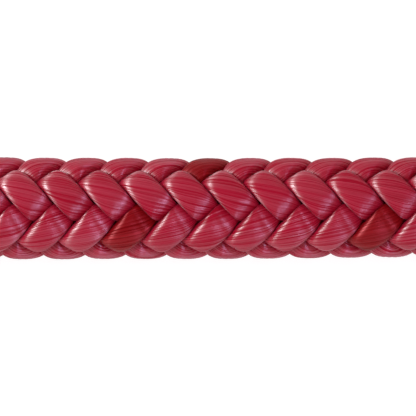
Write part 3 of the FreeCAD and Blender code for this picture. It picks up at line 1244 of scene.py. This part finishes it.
@dataclass(frozen=True)
class HankTie:
    """Twine wrapped round one side of the hank and tied in a reef knot."""

    side: int
    wraps: int = 5
    twine: float = 0.0024

    @property
    def label(self) -> str:
        """The side's name."""
        return "near" if self.side < 0 else "far"

    def build(self, route: Route, maker: TwineMaker,
              material: bpy.types.Material) -> tuple[bpy.types.Object, bpy.types.Object]:
        """Lay the wraps and the knot.

        Args:
            route: The line's centreline.
            maker: What lays the twine.
            material: The twine's finish.

        Returns:
            The wraps and the knot.
        """
        loop = self._loop(route)
        pitch = self.twine
        start = route.layout.hank_x - self.wraps * pitch / 2
        count = len(loop)
        wraps = [(start + (step / count + 0.5 / self.wraps) * pitch, *loop[step % count])
                 for step in range(self.wraps * count - count // 12)]
        tie = maker.lay(f"hank_tie_{self.label}", [np.array(wraps)], self.twine, material)
        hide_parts(f"tie_{self.label}")
        knot = maker.lay(f"reef_knot_{self.label}", self._knot(route, loop[0]), self.twine, material)
        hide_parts(f"tie_knot_{self.label}")
        return tie, knot

    def _loop(self, route: Route) -> np.ndarray:
        """One wrap round the turns, as y and z, from half-way up the outer face.

        Args:
            route: The line's centreline.

        Returns:
            The wrap's points, evenly spaced.
        """
        reach = route.layout.diameter / 2 + self.twine * 0.45
        corners = convex_outline(route.crossings(self.side))
        edge = []
        for before, corner, after in zip(corners[-1:] + corners, corners, corners[1:] + corners[:1]):
            first = math.atan2(before[0] - corner[0], corner[1] - before[1])
            last = math.atan2(corner[0] - after[0], after[1] - corner[1])
            sweep = (last - first) % (2 * math.pi)
            for share in np.linspace(0, 1, 9):
                angle = first + share * sweep
                edge.append((corner[0] + reach * math.cos(angle), corner[1] + reach * math.sin(angle)))
        ring = np.array(edge + edge[:1])
        lengths = np.concatenate([[0.0], np.cumsum(np.linalg.norm(np.diff(ring, axis=0), axis=1))])
        wanted = np.linspace(0, lengths[-1], 97)[:-1]
        even = np.stack([np.interp(wanted, lengths, ring[:, axis]) for axis in range(2)], axis=1)
        outward = even[:, 0] * self.side
        middle = np.abs(even[:, 1] - route.layout.hank_top / 2)
        nearest = int(np.argmin(middle - 10 * (outward > outward.max() - 0.002)))
        return np.roll(even, -nearest, axis=0)

    def _knot(self, route: Route, place: np.ndarray) -> list[np.ndarray]:
        """The two locked bights of the knot, in twine diameters along, up and outwards.

        Args:
            route: The line's centreline.
            place: Where the knot sits, as y and z.

        Returns:
            The points of each bight.
        """
        bight = [(-5.2, 1.5, -0.6), (-4.0, 0.9, 0.5), (-2.6, 0.5, 0.75), (-1.2, 0.55, 0.7),
                 (0.0, 0.85, 1.5), (1.3, 1.15, 1.7), (2.1, 0.6, 1.75), (2.3, 0.0, 1.8),
                 (2.1, -0.6, 1.75), (1.3, -1.15, 1.6), (0.0, -0.85, 0.85), (-1.2, -0.55, 0.7),
                 (-2.6, -0.6, 0.75), (-4.2, -1.2, 0.7), (-5.4, -2.4, 0.75), (-5.9, -3.9, 0.7)]
        paths = []
        for turn in (1, -1):
            controls = [Vector((route.layout.hank_x + turn * x * self.twine,
                                place[0] + self.side * out * self.twine,
                                place[1] + turn * up * self.twine)) for x, up, out in bight]
            paths.append(Route.spline_points(controls))
        return paths


def convex_outline(places: list[tuple[float, float]]) -> list[tuple[float, float]]:
    """The outermost of some places, counter-clockwise.

    Args:
        places: The places.

    Returns:
        The outline's corners.
    """
    def side_of(ordered: list[tuple[float, float]]) -> list[tuple[float, float]]:
        """One side of the outline, without its last place.

        Args:
            ordered: The places, in order across.

        Returns:
            The side's corners.
        """
        chain: list[tuple[float, float]] = []
        for place in ordered:
            while len(chain) > 1 and _turn(chain[-2], chain[-1], place) <= 0:
                chain.pop()
            chain.append(place)
        return chain[:-1]

    ordered = sorted(places)
    return side_of(ordered) + side_of(ordered[::-1])


def _turn(first: tuple[float, float], second: tuple[float, float], third: tuple[float, float]) -> float:
    """Above 0 where three places turn left."""
    return ((second[0] - first[0]) * (third[1] - first[1])
            - (second[1] - first[1]) * (third[0] - first[0]))


@dataclass(frozen=True)
class SealedEnd:
    """The melted face that closes the cut strands at the bitter end."""

    radius: float = 0.0064
    depth: float = 0.0026
    lobes: int = 12
    around: int = 96
    rings: int = 14

    def build(self, layout: Layout, material: bpy.types.Material) -> bpy.types.Object:
        """Make the closed, lumpy button.

        Args:
            layout: Where the line lies.
            material: The button's finish.

        Returns:
            The piece.
        """
        centre = Vector((layout.tip_x, layout.line_y, layout.diameter / 2))
        places = [centre + Vector((0.0001, 0, 0))]
        profile = [(math.sin(share * math.pi / 2), 1 - math.cos(share * math.pi / 2))
                   for share in (ring / self.rings for ring in range(1, self.rings + 1))]
        profile.append((0.97, 1.35))
        for reach, back in profile:
            for step in range(self.around):
                places.append(centre + self._point(reach, back, 2 * math.pi * step / self.around))
        places.append(centre + Vector((self.depth * 1.35, 0, 0)))
        mesh = bpy.data.meshes.new("sealed_end")
        mesh.from_pydata([tuple(place) for place in places], [], self._faces(len(profile)))
        mesh.materials.append(material)
        for face in mesh.polygons:
            face.use_smooth = True
        piece = bpy.data.objects.new("sealed_end", mesh)
        bpy.context.scene.collection.objects.link(piece)
        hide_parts("bitter_end_tip")
        return piece

    def _point(self, reach: float, back: float, angle: float) -> Vector:
        """A point of the button from the middle of its face.

        Args:
            reach: How far out it is, as a share of the radius.
            back: How far behind the face, as a share of the depth.
            angle: Its angle round the button.

        Returns:
            The point.
        """
        lump = 0.035 * math.cos(self.lobes * angle + 0.6) + 0.03 * math.sin(3 * angle + 1.1)
        radius = self.radius * reach * (1 + lump * reach)
        dent = 0.12 * math.sin(5 * angle + 6 * reach) * reach * (1 - reach) * 2
        return Vector((self.depth * max(0.02, back + dent), radius * math.cos(angle),
                       radius * math.sin(angle)))

    def _faces(self, rings: int) -> list[tuple[int, ...]]:
        """The faces between the rings, facing outwards.

        Args:
            rings: How many rings there are.

        Returns:
            The faces, as numbers of points.
        """
        around, faces = self.around, []
        last = rings * around + 1
        for step in range(around):
            ahead = (step + 1) % around
            faces.append((0, 1 + ahead, 1 + step))
            faces.append((last, last - around + step, last - around + ahead))
            for ring in range(rings - 1):
                low, high = 1 + ring * around, 1 + (ring + 1) * around
                faces.append((low + step, low + ahead, high + ahead, high + step))
        return faces


# ------------------------------------------------------------------------ the studio
class Studio:
    """A pale floor, soft lights and the camera over the straight stretch."""

    FLOOR_HALF_SIDE = 6.0
    FLOOR_GLOW = 0.88
    SKY_STRENGTH = 0.66
    CAMERA_HEIGHT = 0.6
    SEEN_WIDTH = 4.24              # in rope diameters
    SENSOR_WIDTH = 36.0            # millimetres

    def __init__(self, layout: Layout) -> None:
        """Keep the layout that the lights and the camera stand over."""
        self.layout = layout

    def build(self) -> None:
        """Make the floor, the lights and the camera."""
        self._floor()
        self._lights()
        self._camera()

    def _floor(self) -> None:
        """A large pale floor."""
        mesh = bpy.data.meshes.new("floor")
        r = self.FLOOR_HALF_SIDE
        mesh.from_pydata([(-r, -r, 0), (r, -r, 0), (r, r, 0), (-r, r, 0)], [], [(0, 1, 2, 3)])
        floor = bpy.data.objects.new("floor", mesh)
        bpy.context.scene.collection.objects.link(floor)
        material = bpy.data.materials.new("studio_floor")
        material.use_nodes = True
        shader = material.node_tree.nodes["Principled BSDF"]
        shader.inputs["Base Color"].default_value = (0.22, 0.22, 0.22, 1)
        shader.inputs["Roughness"].default_value = 0.9
        shader.inputs["Emission Color"].default_value = (1, 1, 1, 1)
        shader.inputs["Emission Strength"].default_value = self.FLOOR_GLOW
        mesh.materials.append(material)

    def _area(self, name: str, place: Vector, size: float, power: float,
              colour: tuple[float, float, float], diffuse: bool = True, gloss: bool = True) -> None:
        """A square soft light aimed at the straight stretch.

        Args:
            name: The light's name.
            place: Where it stands, from the mark.
            size: The length of its side.
            power: Its power in watts.
            colour: Its colour.
            diffuse: Whether it lights surfaces.
            gloss: Whether it shows in reflections.
        """
        light = bpy.data.lights.new(name, "AREA")
        light.size = size
        light.energy = power
        light.color = colour
        lamp = bpy.data.objects.new(name, light)
        lamp.location = self.layout.mark + place
        lamp.rotation_euler = (-place).to_track_quat("-Z", "Y").to_euler()
        lamp.visible_diffuse = diffuse
        lamp.visible_glossy = gloss
        bpy.context.scene.collection.objects.link(lamp)

    def _lights(self) -> None:
        """The key and the sky light the rope; the other lights show only in its gloss."""
        self._area("key", Vector((-0.6, 0.15, 0.85)), 0.3, 4.0, (1.0, 0.98, 0.97), gloss=False)
        self._area("glint", Vector((-0.92, 0.27, 0.42)), 0.3, 21.0, (1.0, 0.97, 1.0), diffuse=False)
        self._area("fill", Vector((0.85, -0.1, 0.6)), 0.4, 7.0, (0.84, 0.60, 1.0), diffuse=False)
        self._area("low_fill", Vector((0.3, -0.8, 0.65)), 0.3, 4.0, (0.84, 0.60, 1.0), diffuse=False)
        world = bpy.data.worlds.new("studio")
        bpy.context.scene.world = world
        world.use_nodes = True
        background = world.node_tree.nodes["Background"]
        background.inputs["Color"].default_value = (1, 1, 1, 1)
        background.inputs["Strength"].default_value = self.SKY_STRENGTH
        world.cycles_visibility.glossy = False
        bpy.context.scene.view_settings.view_transform = "Standard"

    def _camera(self) -> None:
        """Straight above the rope, with a long lens."""
        data = bpy.data.cameras.new("camera")
        camera = bpy.data.objects.new("camera", data)
        seen_width = self.SEEN_WIDTH * self.layout.diameter
        data.sensor_width = self.SENSOR_WIDTH
        data.lens = self.SENSOR_WIDTH * self.CAMERA_HEIGHT / seen_width
        camera.location = self.layout.mark + Vector((0, 0, self.CAMERA_HEIGHT))
        bpy.context.scene.collection.objects.link(camera)
        bpy.context.scene.camera = camera


def dress_whole_line(strands: list[bpy.types.Object]) -> None:
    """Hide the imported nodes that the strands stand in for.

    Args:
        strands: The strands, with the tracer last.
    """
    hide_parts("right_lay_strand_1", "lead_in", "hank", "top_turn", "splice", "eye_loop")
    for number, strand in enumerate(strands[1:6], 2):
        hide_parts(f"right_lay_strand_{number}")
    for number, strand in enumerate(strands[6:11], 1):
        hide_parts(f"left_lay_strand_{number}")
    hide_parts("tracer_strand")


def main() -> None:
    """Build the line, dress it and light it."""
    logging.basicConfig(level=logging.INFO, format="%(message)s")
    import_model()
    layout = Layout.from_frame()
    Studio(layout).build()
    route = Route(layout, Stowage())
    log.info("route of %.3f m, throat at %.3f m", route.length, route.throat)
    fibre = FibreFinish("rose_fibre", (0.55, 0.010, 0.052), (0.36, 0.003, 0.020),
                        sheen=0.05).build()
    tracer = FibreFinish("tracer_fibre", (0.35, 0.004, 0.010), (0.18, 0.002, 0.004), specular=0.5,
                         tint=(1.0, 0.24, 0.26)).build()
    waxed = FibreFinish("waxed_twine", (0.16, 0.008, 0.014), (0.07, 0.003, 0.006), 0.45, 40.0).build()
    cotton = FibreFinish("off_white_twine", (0.75, 0.72, 0.64), (0.52, 0.49, 0.42), 0.7, 40.0).build()
    melted = MeltedFinish("melted_fibre", (0.30, 0.012, 0.030), (0.10, 0.004, 0.008)).build()
    strands = Braid(route, BraidSizes(), fibre, tracer).build()
    dress_whole_line(strands)

    maker = TwineMaker()
    d = layout.diameter
    twine, throat_wraps = 0.0016, 8
    end = Whipping("end_whipping", "bitter_end_whipping", 0.0042, 9, twine, 0.0064)
    throat = Whipping("throat_wraps", "throat_whipping", route.throat - throat_wraps * twine,
                      throat_wraps, twine, Route.SPLICE_GIRTH / 2 * d)
    bindings = [whipping.build(route, maker, waxed) for whipping in (end, throat)]
    ties = [piece for side in (-1, 1) for piece in HankTie(side).build(route, maker, cotton)]
    tip = SealedEnd().build(layout, melted)
    pieces = strands + bindings + ties + [tip]
    for piece in pieces:
        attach(piece, "root")
        log.info("%s: %d faces", piece.name, len(piece.data.polygons))


if __name__ == "__main__":
    main()
